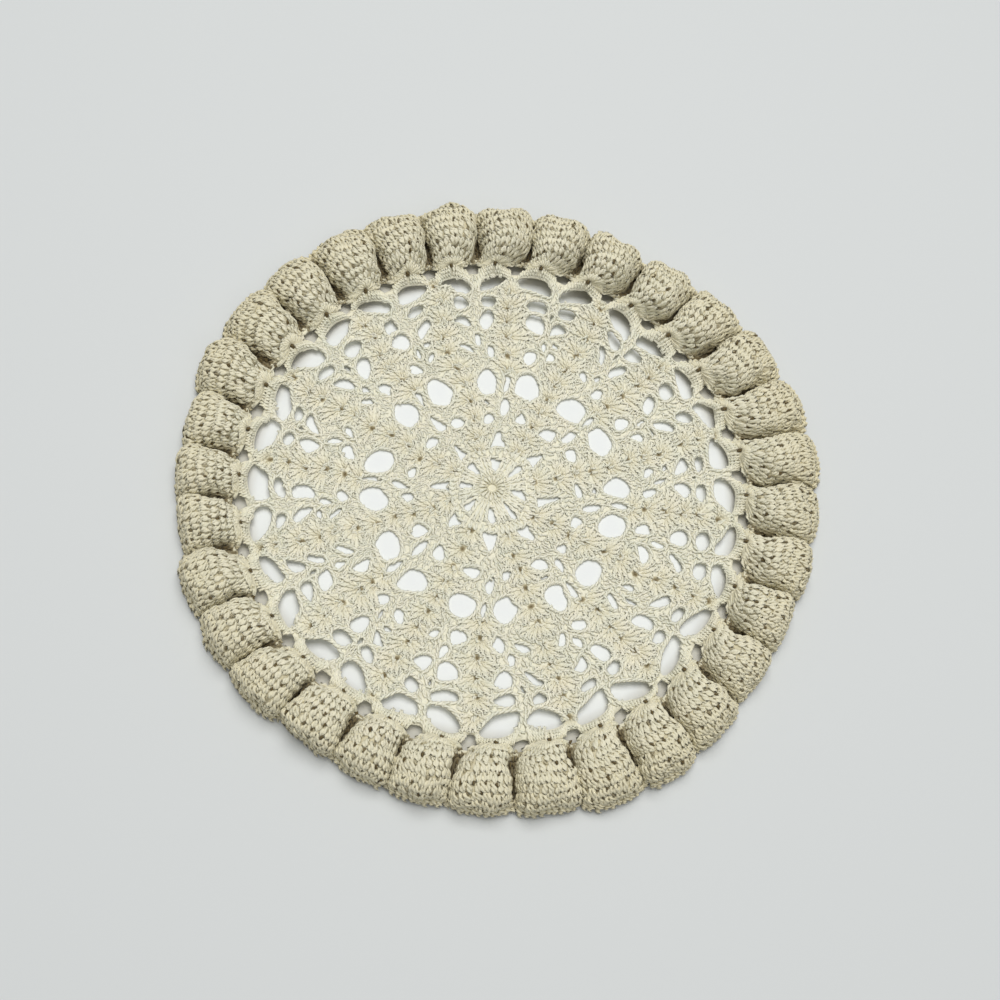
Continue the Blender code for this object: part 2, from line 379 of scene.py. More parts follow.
def frill_point(shell, along, across, above=0.0):
    """Places and normals on the frill: along from foot to edge and across a shell, both 0 to 1."""
    along, across, shell = np.broadcast_arrays(
        np.clip(along, 0, 1) * (ALONG - 1.001), np.clip(across, 0, 1) * (ACROSS - 1.001), shell
    )
    i, j = along.astype(int), across.astype(int)
    p, q = (along - i)[..., None], (across - j)[..., None]
    place, normal = (
        grid[shell, i, j] * (1 - p) * (1 - q) + grid[shell, i + 1, j] * p * (1 - q)
        + grid[shell, i, j + 1] * (1 - p) * q + grid[shell, i + 1, j + 1] * p * q
        for grid in (FRILL, FRILL_NORMAL)
    )
    normal = unit_length(normal)
    return place + normal * np.asarray(above, float)[..., None], normal


# %% Where anything lies
UP = np.array((0.0, 0.0, 1.0))
FOOT_ROWS = 20


def foot_point(turn, out, above=0.0):
    """Places from the rim of the lace up the foot of the frill, for outs up to about 80."""
    row = np.interp(out, outline_rows[:FOOT_ROWS, 0], np.arange(FOOT_ROWS)) / (ALONG - 1)
    shell = np.floor(turn / SHELL_PITCH).astype(int)
    return frill_point(shell % SHELLS, row, turn / SHELL_PITCH - shell, above + 0 * out)


def cloth_point(turn, out, above=0.0):
    """Places and normals anywhere from the middle up to the foot of the frill."""
    turn, out = np.broadcast_arrays(np.asarray(turn, float), np.asarray(out, float))
    above = above + 0 * out
    foot, foot_normal = foot_point(turn, np.maximum(out, NET_RADIUS), above)
    raised = (out > NET_RADIUS)[..., None]
    return np.where(raised, foot, lace_point(turn, out, above)), np.where(raised, foot_normal, UP)


def plane(turn, out):
    """A place of the even pattern as x and y, before the cloth is pulled out of true."""
    turn = np.radians(turn)
    return np.stack((out * np.cos(turn), out * np.sin(turn)), -1)


def to_cloth(spots, above=0.0):
    """Places and normals on the cloth of places of the even pattern."""
    turn = np.mod(np.degrees(np.arctan2(spots[:, 1], spots[:, 0])), 360)
    return cloth_point(turn, np.hypot(spots[:, 0], spots[:, 1]), above)


def beside(line, across, out):
    """Turn and out of places beside a line, given as millimetres across and out."""
    return line + np.degrees(across / out), out


print("foot of the frill at", cloth_point(0.0, NET_RADIUS)[0].round(1), "and the middle at",
      cloth_point(0.0, 0.0)[0].round(1))

# %% [markdown]
# ## The stitches
# A treble is a tall post of two strands wound round each other, and a loop of thread lies on its
# top. They are modelled once, by hand, standing on z from 0 to 1 and from -1 to 1 across. A post
# is drawn up from two small circles in steps that turn it a little each time, because that is how
# the thread itself is twisted. The short units are for stitches of which only a little is seen.

# %% Stitch units
STRAND = 0.6
LOOP_RADIUS, LOOP_THREAD, LOOP_NECK, LOOP_FLAT = 0.66, 0.36, 0.6, (1, 2.6, 0.5)


def new_unit(name):
    unit = bpy.context.object
    unit.name = name
    bpy.ops.object.transform_apply(location=True, rotation=True, scale=True)
    return unit


def finish_unit():
    bpy.ops.mesh.select_all(action="SELECT")
    bpy.ops.mesh.normals_make_consistent(inside=False)
    bpy.ops.object.mode_set(mode="OBJECT")


def make_post(name, sides, steps, turns, pinch):
    """Two strands wound round each other, drawn in at every second step."""
    bpy.ops.object.select_all(action="DESELECT")
    shape = {"vertices": sides, "radius": STRAND, "fill_type": "NGON"}
    bpy.ops.mesh.primitive_circle_add(location=(1 - STRAND, 0, 0), **shape)
    unit = new_unit(name)
    bpy.ops.object.mode_set(mode="EDIT")
    bpy.ops.mesh.primitive_circle_add(location=(STRAND - 1, 0, 0), **shape)
    bpy.ops.mesh.select_all(action="SELECT")
    for step in range(steps):
        bpy.ops.mesh.extrude_region_move(TRANSFORM_OT_translate={"value": (0, 0, 1 / steps)})
        bpy.ops.transform.rotate(
            value=2 * math.pi * turns / steps, orient_axis="Z", center_override=(0, 0, 0)
        )
        size = 1 / pinch if step % 2 else pinch
        bpy.ops.transform.resize(value=(size, size, 1), center_override=(0, 0, 0))
    finish_unit()
    return unit


def make_loop(name, major, minor):
    """A flat loop of thread, narrower at its lower end."""
    bpy.ops.object.select_all(action="DESELECT")
    bpy.ops.mesh.primitive_torus_add(
        major_segments=major, minor_segments=minor, major_radius=LOOP_RADIUS,
        minor_radius=LOOP_THREAD, rotation=(math.pi / 2, 0, 0),
    )
    unit = new_unit(name)
    bpy.ops.object.mode_set(mode="EDIT")
    bpy.ops.mesh.select_all(action="DESELECT")
    bpy.ops.object.mode_set(mode="OBJECT")
    for vert in unit.data.vertices:
        vert.select = vert.co.z < -0.2
    bpy.ops.object.mode_set(mode="EDIT")
    bpy.ops.transform.resize(value=(LOOP_NECK, 1, 1), center_override=(0, 0, 0))
    bpy.ops.mesh.select_all(action="SELECT")
    bpy.ops.transform.resize(value=LOOP_FLAT, center_override=(0, 0, 0))
    bpy.ops.transform.translate(value=(0, 0, 0.5))
    finish_unit()
    return unit


def read_unit(unit):
    """The unit's numbers, with its height as the second axis; its object is then removed.

    Its faces are sorted, because extruding gives them in another order each time."""
    mesh = unit.data
    points = np.array([vert.co for vert in mesh.vertices])[:, (0, 2, 1)] * (1, 1, -1)
    faces = sorted(tuple(face.vertices) for face in mesh.polygons)
    corners = np.concatenate(faces)
    starts = np.cumsum([0] + [len(face) for face in faces[:-1]])
    triangles = sum(len(face) - 2 for face in faces)
    print(unit.name, "has", triangles, "triangles")
    bpy.data.objects.remove(unit)
    bpy.data.meshes.remove(mesh)
    return points, corners, starts, triangles


LONG_POST = read_unit(make_post("long_post", 4, 7, 1.5, 0.78))
POST = read_unit(make_post("post", 4, 4, 0.75, 0.85))
SHORT_POST = read_unit(make_post("short_post", 4, 4, 0.7, 0.85))
STUB = read_unit(make_post("stub", 3, 2, 0.35, 1.15))
LOOP = read_unit(make_loop("loop", 6, 3))

# %% [markdown]
# ## Laying stitches
# To lay a stitch is to put its unit between two places of the cloth, with its face along the
# cloth's normal. All stitches of one kind are laid in a single sum over arrays, and each piece of
# the doily is one mesh of them, with a tone of its own for each stitch.

# %% Laying stitches
def jitter(size, spread):
    return rng.normal(0, spread, size)


def each(value, count):
    """A value for each stitch, shaped to multiply places of its unit."""
    return np.broadcast_to(value, count)[:, None, None]


def lay(unit, base, top, normal, wide, thick, bow=0.0, painted_shade=(0.0, 0.0), normal_top=None,
        middle=None):
    """Copies of a unit from base to top, by way of a middle place, or bowed out by that much.

    wide is half the width at base, middle and top, thick half the thickness, and the two values
    after bow are the painted shade of the base and the top, more where they lie deep in a fold."""
    points, corners, starts, triangles = unit
    count = len(base)
    normal_top = normal if normal_top is None else normal_top
    middle = (base + top) / 2 if middle is None else middle
    middle = middle + unit_length(normal + normal_top) * np.broadcast_to(bow, count)[:, None]
    across, along, out = (points[None, :, i, None] for i in range(3))
    weights = (1 - along) * (1 - 2 * along), 4 * along * (1 - along), along * (2 * along - 1)
    turns = 4 * along - 3, 4 - 8 * along, 4 * along - 1
    path, heading, half = 0.0, 0.0, 0.0
    for weight, turn, place, width in zip(weights, turns, (base, middle, top), wide):
        path = path + weight * place[:, None]
        heading = heading + turn * place[:, None]
        half = half + weight * each(width, count)
    facing = unit_length(normal[:, None] * (1 - along) + normal_top[:, None] * along)
    side = unit_length(np.cross(heading, facing))
    placed = path + side * across * half + facing * out * each(thick, count)
    shift = np.arange(count)[:, None]
    return {
        "points": placed.reshape(-1, 3),
        "corners": (corners[None] + shift * len(points)).reshape(-1),
        "starts": (starts[None] + shift * len(corners)).reshape(-1),
        "tone": np.repeat(rng.uniform(0, 1, count), len(points)),
        "painted_shade": (each(painted_shade[0], count) * (1 - along) + each(painted_shade[1], count) * along).ravel(),
        "triangles": triangles * count,
    }


def make_piece(name, patches):
    """One mesh of laid stitches."""
    mesh = bpy.data.meshes.new(name)
    sizes = [(len(p["points"]), len(p["corners"])) for p in patches]
    first = np.concatenate(([[0, 0]], np.cumsum(sizes, axis=0)))
    mesh.vertices.add(int(first[-1][0]))
    mesh.loops.add(int(first[-1][1]))
    mesh.polygons.add(sum(len(p["starts"]) for p in patches))
    points = np.concatenate([p["points"] for p in patches]) * MM
    corners = np.concatenate([p["corners"] + f[0] for p, f in zip(patches, first)])
    starts = np.concatenate([p["starts"] + f[1] for p, f in zip(patches, first)])
    mesh.vertices.foreach_set("co", points.ravel())
    mesh.loops.foreach_set("vertex_index", corners.astype(np.int32))
    mesh.polygons.foreach_set("loop_start", starts.astype(np.int32))
    mesh.update(calc_edges=True)
    # tone is each stitch's own colour, the other attribute its painted shade
    for value in ("tone", "painted_shade"):
        store = mesh.attributes.new(value, "FLOAT", "POINT")
        store.data.foreach_set("value", np.concatenate([p[value] for p in patches]))
    mesh.shade_smooth()
    piece = bpy.data.objects.new(name, mesh)
    bpy.context.scene.collection.objects.link(piece)
    print(name, "has", sum(p["triangles"] for p in patches), "triangles")
    return piece


# %% [markdown]
# ## The holes
# What one sees first in such lace are its holes. They are charted for half of one repeat, from a
# second spoke to the main spoke beside it, as the places that each hole's edge goes through. The
# other half is its mirror image, and a hole that starts on its line is mirrored across that too.
# No two holes of hand work are quite alike, so each is moved, turned and stretched a little.

# %% Chart of the holes
STEM = SPOKE_PITCH / 2  # the line midway between two spokes
ARCH_HOLE = (
    (1.2, 68.4), (1.9, 70.6), (4.6, 72.1), (8.4, 72.7), (11.6, 72.3), (11.9, 71.3), (10.2, 69.6),
    (7.6, 67.8), (4.6, 66.7), (2.2, 66.8),
)
POST_HOLE = (0, 73.4), (1.7, 73.7), (2.7, 74.8), (2.3, 76.4), (0.9, 77.2)
HOLES = (
    # name, line in degrees from the second spoke, on both hands, share that is open, size, and
    # places as (across, out); below 0 the line is the same, and its places are counted back
    ("petal", 0.0, False, 1.0, 0.95, ((0, 5.2), (1.0, 6.3), (1.65, 8.2), (1.5, 9.8), (0.5, 10.6))),
    ("triangle", 0.0, False, 1.0, 0.95,
     ((0, 13.4), (2.1, 13.3), (1.6, 15.4), (1.0, 17.6), (0.5, 19.2))),
    ("lens", 0.0, True, 1.0, 1.1,
     ((2.7, 24.2), (4.3, 23.6), (6.1, 24.3), (6.6, 25.5), (5.7, 26.9), (4.2, 27.4), (3.1, 26.4))),
    ("diamond", 0.0, False, 1.0, 1.05,
     ((0, 25.6), (1.1, 27.2), (1.4, 29.2), (0.8, 31.2), (0, 31.9))),
    ("side_lens", 0.0, True, 0.4, 1.0,
     ((4.6, 29.7), (6.0, 29.3), (7.4, 30.0), (6.6, 30.7), (5.2, 30.6))),
    ("great", 0.0, True, 1.0, 0.95,
     ((2.4, 34.4), (3.9, 32.9), (6.5, 32.4), (9.0, 33.6), (10.5, 35.8), (10.3, 38.2), (8.5, 40.2),
      (5.8, 40.6), (3.5, 39.3), (2.3, 37.0))),
    ("slender", 0.0, False, 1.0, 1.1,
     ((0, 34.0), (0.7, 35.4), (0.95, 37.2), (0.6, 39.0), (0, 39.6))),
    ("pair_near", -STEM, True, 1.0, 1.05,
     ((1.6, 44.4), (1.4, 46.2), (2.1, 47.8), (3.5, 48.3), (4.9, 47.3), (4.9, 45.6), (3.8, 44.3),
      (2.6, 43.7))),
    ("pair_far", STEM, True, 1.0, 1.05,
     ((1.7, 45.8), (2.9, 46.1), (4.6, 47.5), (5.4, 48.9), (4.3, 49.6), (2.7, 48.8), (1.8, 47.4))),
    ("stem_oval", STEM, True, 1.0, 1.1, ((0, 48.6), (0.8, 49.8), (0.85, 51.2), (0.3, 52.3))),
    ("side_slit", STEM, True, 0.35, 1.0,
     ((2.6, 52.2), (4.2, 52.0), (5.6, 52.8), (4.8, 53.7), (3.2, 53.4))),
    ("leaf_near", -STEM, True, 1.0, 1.08,
     ((1.7, 54.4), (1.5, 56.6), (2.3, 58.6), (4.0, 59.6), (5.8, 59.0), (6.2, 57.2), (5.1, 55.2),
      (3.2, 53.8))),
    ("leaf_far", STEM, True, 1.0, 1.08,
     ((1.7, 55.0), (3.1, 55.3), (5.0, 56.8), (6.6, 58.5), (5.5, 59.6), (3.4, 59.2), (2.1, 57.6))),
    ("small_oval", STEM, True, 0.7, 1.0, ((0, 58.8), (0.6, 59.6), (0.6, 60.9), (0, 61.7))),
    ("ladder_near", -STEM, True, 1.0, 1.08,
     ((2.3, 62.0), (2.3, 63.6), (3.2, 64.8), (5.2, 65.0), (7.0, 64.2), (7.2, 62.8), (5.8, 61.6),
      (3.8, 61.2))),
    ("ladder_far", STEM, True, 1.0, 1.08,
     ((2.2, 62.6), (2.7, 64.6), (4.6, 65.4), (6.8, 65.2), (7.4, 64.1), (6.1, 62.5), (4.0, 61.6))),
    ("arch_near", -STEM, True, 1.0, 1.0, ARCH_HOLE),
    ("arch_far", STEM, True, 1.0, 1.0, ARCH_HOLE),
    ("post_second", 0.0, False, 1.0, 1.12, POST_HOLE),
    ("post_stem", STEM, True, 1.0, 1.12, POST_HOLE),
    ("post_main", SPOKE_PITCH, False, 1.0, 1.12, POST_HOLE),
)
HOLE_STEP = 0.75  # between the points of a hole's edge


def whole(places):
    """All places of a hole: one that starts on its line is mirrored across the line."""
    if places[0][0] != 0:
        return places
    return places + tuple((-across, out) for across, out in places[::-1] if across)


def closed_line(points, step):
    """A soft closed curve through points, as points about a step apart."""
    four = (np.roll(points, n, axis=0) for n in (1, 0, -1, -2))
    curve = soft_curve(*four, CURVE_PARTS[:, None, None]).transpose(1, 0, 2).reshape(-1, 2)
    curve = np.vstack((curve, curve[:1]))
    length = np.linalg.norm(np.diff(curve, axis=0), axis=1).sum()
    return evenly(curve, max(int(round(length / step)), 6) + 1)[:-1]


def hole_outline(places, hand, line, size):
    """The edge of one hole on the even pattern, with its own small differences."""
    places = np.asarray(places, float)
    middle = places.mean(axis=0)
    size = size + jitter(2, 0.06)
    angle = jitter(1, 0.09)[0]
    around = (places - middle) * size + jitter(places.shape, 0.2)
    cosine, sine = math.cos(angle), math.sin(angle)
    around = around @ np.array(((cosine, sine), (-sine, cosine)))
    curve = closed_line(middle + around + jitter(2, 0.28), HOLE_STEP)
    return plane(*beside(line, hand * curve[:, 0], curve[:, 1]))


holes = []
for repeat in range(REPEATS):
    second = repeat * REPEAT_PITCH + SPOKE_PITCH
    for name, line, both, share, size, places in HOLES:
        for hand in (1, -1) if both else (1,):
            if rng.uniform() > share:
                continue
            side = -hand if line < 0 else hand
            outline = hole_outline(whole(places), side, second + side * line, size)
            middle = outline.mean(axis=0)
            holes.append((name, outline, middle, np.hypot(*(outline - middle).T).max()))
print("there are", len(holes), "holes")

# %% In or out of a hole
RING_HOLE = 1.2  # the first ring of the work, pulled nearly shut


def in_holes(spots):
    """Which places of the even pattern are in a hole."""
    found = np.hypot(spots[:, 0], spots[:, 1]) < RING_HOLE
    for _, outline, middle, reach in holes:
        near = np.flatnonzero(np.hypot(*(spots - middle).T) < reach)
        if not len(near):
            continue
        x, y = spots[near].T[:, :, None]
        x1, y1 = outline.T
        x2, y2 = np.roll(outline, -1, axis=0).T
        crossed = ((y1 > y) != (y2 > y)) & (x < (x2 - x1) * (y - y1) / (y2 - y1 + 1e-12) + x1)
        found[near] |= crossed.sum(axis=1) % 2 == 1
    return found


# %% [markdown]
# ## Where the shells start
# The spokes are columns of shell stitches. Each shell is worked into the eye in the middle of
# the shell below: trebles to the left, two chains, trebles to the right. The chart gives the
# eyes, and how much wider than high each shell is. Main and second spokes take turns.

# %% Chart of the spokes
MAIN_EYES = np.array([13.4 + 5.7 * n for n in range(11)])
MAIN_WIDTHS = np.array((0.9, 1.0, 1.08, 1.1, 1.1, 1.12, 1.12, 1.08, 1.0, 0.9, 0.8))
SECOND_EYES = np.array((40.6, 45.6, 51.0, 56.5, 61.9, 67.4))
SECOND_WIDTHS = np.array((1.25, 1.4, 1.35, 1.2, 1.0, 0.85))
EYE_JITTER = 0.2
ARCH_EYES = 75.6

eyes = []
for repeat in range(REPEATS):
    for line, outs in ((0.0, MAIN_EYES), (SPOKE_PITCH, SECOND_EYES)):
        turn = repeat * REPEAT_PITCH + line
        eyes.extend(plane(turn, out + jitter(1, EYE_JITTER)[0]) for out in outs)
eyes = np.array(eyes)
arch_eyes = [plane((arch + 0.5) * SHELL_PITCH, ARCH_EYES) for arch in range(SHELLS)]
dark_spots = np.vstack((eyes, arch_eyes))
print("the spokes have", len(eyes), "shells")

# %% [markdown]
# ## The ground of the cloth
# Under all stitches lies the felted ground of the cloth, where threads cross behind the ones
# that one sees. It is a thin closed sheet with every hole cut out: the even pattern is divided
# into triangles round the hole edges, the triangles in holes are dropped, and what stays is laid
# on the cloth's surface. The frill's part follows the shells. In the eyes and down in the grooves,
# where little light comes, the sheet is painted browner as painted shade.

# %% Closed sheets
def sheet_patch(top, bottom, triangles, painted_shade):
    """A closed sheet from its two sides and the triangles of its upper side."""
    count = len(top)
    ends = np.concatenate((triangles[:, (0, 1)], triangles[:, (1, 2)], triangles[:, (2, 0)]))
    code = np.sort(ends, axis=1) @ np.array((count, 1))
    _, first, times = np.unique(code, return_index=True, return_counts=True)
    rim = ends[first[times == 1]]
    walls = np.stack((rim[:, 1], rim[:, 0], rim[:, 0] + count, rim[:, 1] + count), -1)
    faces = triangles, triangles[:, ::-1] + count, walls
    corners = np.concatenate([face.ravel() for face in faces])
    starts = np.concatenate((
        np.arange(2 * len(triangles)) * 3, 6 * len(triangles) + np.arange(len(walls)) * 4
    ))
    return {
        "points": np.vstack((top, bottom)), "corners": corners, "starts": starts,
        "tone": np.full(2 * count, 0.5), "painted_shade": np.concatenate((painted_shade, painted_shade)),
        "triangles": 2 * len(triangles) + 2 * len(walls),
    }


# %% Ground of the lace
GROUND_OUT, GROUND_PITCH = 78.2, 2.0
GROUND_TOP, GROUND_BOTTOM = -0.08, -0.6
# painted shade of the ground everywhere, and the points of the first ring and of the rim
GROUND_PAINTED_SHADE, RING_POINTS, RIM_POINTS = 0.12, 14, 320
EYE_ROUND, EYE_FLOOR, EYE_DIP = 1.28, 0.7, 0.4
SMALLEST = 1e-6  # a triangle with a smaller area is left out


def lace_outlines():
    """Points of all edges of the ground, and the lines between them as pairs of numbers."""
    rings = [outline for _, outline, _, _ in holes]
    for radius, count in ((RING_HOLE, RING_POINTS), (GROUND_OUT, RIM_POINTS)):
        rings.append(plane(np.arange(count) * 360 / count, radius))
    spots, lines = [], []
    for ring in rings:
        first, count = len(spots), len(ring)
        spots.extend(ring)
        lines.extend((first + n, first + (n + 1) % count) for n in range(count))
    return spots, lines


def lace_spots():
    """Points inside the ground: an even grid, rings round the eyes and the first ring's floor."""
    grid = np.arange(-GROUND_OUT, GROUND_OUT, GROUND_PITCH)
    x, y = np.meshgrid(grid, grid)
    x = x + (np.arange(len(grid)) % 2)[:, None] * GROUND_PITCH / 2
    inner = np.stack((x.ravel(), y.ravel()), -1)
    inner = inner[np.hypot(*inner.T) < GROUND_OUT - 1.0]
    around = [eye + radius * np.array((math.cos(a), math.sin(a)))
              for eye in dark_spots for radius in (EYE_FLOOR, EYE_ROUND)
              for a in np.arange(6) * math.pi / 3]
    floor = plane(np.arange(7) * 360 / 7, EYE_FLOOR)
    return inner[~in_holes(inner)], dark_spots, around, floor, np.zeros((1, 2))


def lace_sheet():
    """The flat part of the ground, with its holes, and its area."""
    spots, lines = lace_outlines()
    spots = np.vstack((spots, *lace_spots()))
    found = delaunay_2d_cdt([Vector(p) for p in spots], lines, [], 0, 1e-5)
    flat = np.array(found[0])
    triangles = np.array([face for face in found[2] if len(face) == 3])
    middles = flat[triangles].mean(axis=1)
    far = np.hypot(*middles.T)
    triangles = triangles[(~in_holes(middles) | (far < RING_HOLE)) & (far < GROUND_OUT)]
    one, two = (flat[triangles[:, n]] - flat[triangles[:, 0]] for n in (1, 2))
    size = one[:, 0] * two[:, 1] - one[:, 1] * two[:, 0]
    real = np.abs(size) > SMALLEST
    triangles = np.where((size < 0)[:, None], triangles[:, ::-1], triangles)[real]
    used, renumbered = np.unique(triangles, return_inverse=True)
    flat, triangles = flat[used], renumbered.reshape(-1, 3)
    away = np.array([np.hypot(*(flat - eye).T) for eye in dark_spots]).min(axis=0)
    dip = smooth(1 - away / EYE_ROUND)
    ring = smooth(1.8 - np.hypot(*flat.T) / RING_HOLE)
    top, _ = to_cloth(flat, GROUND_TOP - EYE_DIP * dip - 0.3 * ring)
    bottom, _ = to_cloth(flat, GROUND_BOTTOM)
    # painted shade: a little over the whole ground, dark brown in the eyes, a little at the first
    # ring
    painted_shade = GROUND_PAINTED_SHADE + 0.88 * smooth(1.55 * dip) + 0.1 * ring
    return sheet_patch(top, bottom, triangles, painted_shade), np.abs(size[real]).sum() / 2


# %% Ground of the frill
FRILL_TOP, FRILL_THICK = -0.2, 0.5
# painted shade of the frill's ground: over all of it, and more down in the grooves
GROOVE_PAINTED_SHADE, GROOVE_HALF = (0.4, 0.5), 0.22


def groove_shade_share(across, along):
    """How deep in a groove a place is, from 0 on the crest to 1 on the floor, as a share of painted
    shade.
    """
    return smooth(1 - np.minimum(across, 1 - across) / GROOVE_HALF) * smooth(along * 3)


def frill_sheet():
    """The frill's part of the ground, and its area."""
    rows, columns = np.linspace(0.2, 0.985, 22), 22
    along, column = np.meshgrid(rows, np.arange(columns * SHELLS), indexing="ij")
    shell, across = column // columns, (column % columns) / columns
    top, normal = frill_point(shell, along, across, FRILL_TOP)
    bottom = top - normal * FRILL_THICK
    index = np.arange(along.size).reshape(along.shape)
    after = np.roll(index, -1, axis=1)
    a, b, c, d = index[:-1], index[1:], after[1:], after[:-1]
    halves = [np.stack(corners, -1).reshape(-1, 3) for corners in ((a, b, c), (a, c, d))]
    # painted shade, more down in the grooves
    painted_shade = GROOVE_PAINTED_SHADE[0] + GROOVE_PAINTED_SHADE[1] * groove_shade_share(across, along)
    area = np.linalg.norm(np.cross(
        (top[1:] - top[:-1])[:, :-1], (np.roll(top, -1, axis=1) - top)[:-1, :-1]), axis=-1).sum()
    patch = sheet_patch(
        top.reshape(-1, 3), bottom.reshape(-1, 3), np.concatenate(halves), painted_shade.ravel()
    )
    return patch, area


lace_ground, lace_area = lace_sheet()
frill_ground, frill_area = frill_sheet()
print("ground areas in mm2:", round(lace_area), round(frill_area))

# %% [markdown]
# ## Shell stitches
# The trebles of a shell all start round its eye and open like a fan, the outermost nearly
# sideways. Where a fan would reach over a hole, its trebles are shorter. On top of each treble
# lies a loop.

# %% Shells
WING_TURNS = np.radians((11.0, 34.0, 58.0, 84.0))
WING_REACH = np.array((0.77, 0.98, 0.97, 0.9))
FAN_TURNS = np.concatenate((-WING_TURNS[::-1], WING_TURNS))
FAN_REACH = 5.7 * np.concatenate((WING_REACH[::-1], WING_REACH))
FAN_BASE, FAN_HALF, FAN_BOW = 1.12, (0.22, 0.84, 1.16), 0.26
LOOP_HALF = 0.95
spoke_posts, spoke_tops, laid = [], [], []


def clear_of_holes(base, top):
    """Tops moved back towards their bases until they are clear of the holes."""
    shares = np.linspace(0.3, 1.1, 17)
    run = base[:, None] + (top - base)[:, None] * shares[None, :, None]
    blocked = in_holes(run.reshape(-1, 2)).reshape(run.shape[:2])
    first = np.where(blocked.any(axis=1), shares[blocked.argmax(axis=1)], 1.2)
    share = np.clip(first - 0.14, 0.3, 1.0)
    return base + (top - base) * share[:, None]


def add_shell(eye, width):
    """One shell of two wings over an eye."""
    out = unit_length(eye)
    side = np.array((-out[1], out[0]))
    angle = FAN_TURNS + jitter(8, 0.04)
    reach = FAN_REACH + jitter(8, 0.15)
    ahead, aside = np.cos(angle)[:, None] * out, np.sin(angle)[:, None]
    base = eye + (FAN_BASE + jitter(8, 0.22))[:, None] * (ahead + aside * side)
    top = clear_of_holes(base, eye + reach[:, None] * (ahead + width * aside * side))
    laid.extend(base + (top - base) * share for share in (0.3, 0.65, 1.0))
    base, normal = to_cloth(base, -0.15)
    top, normal_top = to_cloth(top, 0.12)
    half = (*FAN_HALF[:2], FAN_HALF[2] * math.sqrt(width))
    # the trebles' feet get painted shade where they go into the eye
    spoke_posts.append(lay(LONG_POST, base, top, normal, half, 0.38, FAN_BOW + jitter(8, 0.08),
                           (0.35, 0.0), normal_top))
    run = unit_length(top - base)
    across = np.cross(run, UP) * LOOP_HALF * math.sqrt(width)
    end = top + run * 0.1
    spoke_tops.append(lay(LOOP, end - across, end + across, normal_top,
                          (0.46, 0.46, 0.46), 0.34, 0.2))


widths = np.tile(np.concatenate((MAIN_WIDTHS, SECOND_WIDTHS)), REPEATS)
for eye, width in zip(eyes, widths):
    add_shell(eye, width)

# %% [markdown]
# ## Hole edges and filling
# Thread is laid round every hole in short lengths, end to end, and between it and the shells the
# cloth is filled with short stitches that lie any way. A tree of the places already covered tells
# where they are needed.

# %% Hole edges
EDGE_PITCH, EDGE_OFF, EDGE_LAP = 1.5, 0.4, 0.68
ARCH_EDGE_OUT = 70.6  # further out, an arch's edge is covered by its ribs
edge_links = []


def offset_outline(outline, off):
    """The outline moved away from the hole's middle."""
    ahead = np.roll(outline, -1, axis=0) - np.roll(outline, 1, axis=0)
    out = unit_length(np.stack((ahead[:, 1], -ahead[:, 0]), -1))
    if ((out * (outline - outline.mean(axis=0))).sum(axis=1)).mean() < 0:
        out = -out
    return outline + out * off


def add_hole_edge(outline, is_arch):
    """Lengths of thread round a hole."""
    curve = offset_outline(outline, EDGE_OFF)
    curve = np.vstack((curve, curve[:1]))
    length = np.linalg.norm(np.diff(curve, axis=0), axis=1).sum()
    count = max(int(round(length / EDGE_PITCH)), 5)
    even = evenly(curve, 2 * count + 1)
    place, heading = even[1::2], unit_length(even[2::2] - even[:-1:2])
    if is_arch:
        inner = np.hypot(*place.T) < ARCH_EDGE_OUT
        place, heading = place[inner], heading[inner]
    place = place + jitter(place.shape, 0.05)
    laid.append(place)
    step = length / count * EDGE_LAP
    base, normal = to_cloth(place - heading * step, -0.1)
    top, _ = to_cloth(place + heading * step, 0.1)
    edge_links.append(lay(STUB, base, top, normal, (0.66, 0.8, 0.66), 0.5, 0.08))


for name, outline, _, _ in holes:
    if not name.startswith("post"):
        add_hole_edge(outline, name.startswith("arch"))
print("laid edges round", len(edge_links), "holes")

# %% Filling
FILL_PITCH, FILL_CLEAR, FILL_EYE = 1.2, 0.78, 0.7
FILL_OUT, FILL_IN, FILL_HALF = 72.3, 12.6, 0.95


def places_to_fill():
    """Places of a rough grid that no stitch covers yet."""
    covered = np.vstack(laid)
    tree = KDTree(len(covered))
    for index, spot in enumerate(covered):
        tree.insert((spot[0], spot[1], 0.0), index)
    tree.balance()
    grid = np.arange(-72.5, 72.5, FILL_PITCH)
    x, y = np.meshgrid(grid, grid)
    spots = np.stack((x.ravel(), y.ravel()), -1) + jitter((x.size, 2), 0.2)
    out = np.hypot(*spots.T)
    spots = spots[(out < FILL_OUT) & (out > FILL_IN)]
    spots = spots[~in_holes(spots)]
    away = np.array([tree.find((p[0], p[1], 0.0))[2] for p in spots])
    from_eye = np.array([np.hypot(*(eyes - p).T).min() for p in spots])
    return spots[(away > FILL_CLEAR) & (from_eye > FILL_EYE)]


spots = places_to_fill()
lie = np.arctan2(spots[:, 1], spots[:, 0]) + jitter(len(spots), 0.6)
heading = np.stack((np.cos(lie), np.sin(lie)), -1)
base, normal = to_cloth(spots - heading * FILL_HALF, -0.25)
top, _ = to_cloth(spots + heading * FILL_HALF, -0.05)
# a trace of painted shade at each stub's foot
fill_stubs = [lay(STUB, base, top, normal, (0.6, 0.8, 0.6), 0.42, 0.12, (0.05, 0.0))]
print("filled with", len(spots), "short stitches")

# %% [markdown]
# ## The middle
# The doily begins with a small ring of thread that is closed round with stitches. Long trebles
# go out from it, with a petal-shaped hole between each two bars, and a round of short trebles
# holds their tops together.

# %% The middle
RING_POSTS, BARS, ROUND_POSTS = 16, 8, 44
centre_posts = []


# the stitches of the middle get painted shade at their feet
def lay_flat(unit, turn, out, turn_top, out_top, wide, thick, bow, painted_shade=(0.1, 0.0)):
    """Stitches of the middle between places given as turn and out."""
    base, normal = cloth_point(turn, out, -0.1)
    top, normal_top = cloth_point(turn_top, out_top, 0.05)
    centre_posts.append(lay(unit, base, top, normal, wide, thick, bow, painted_shade, normal_top))


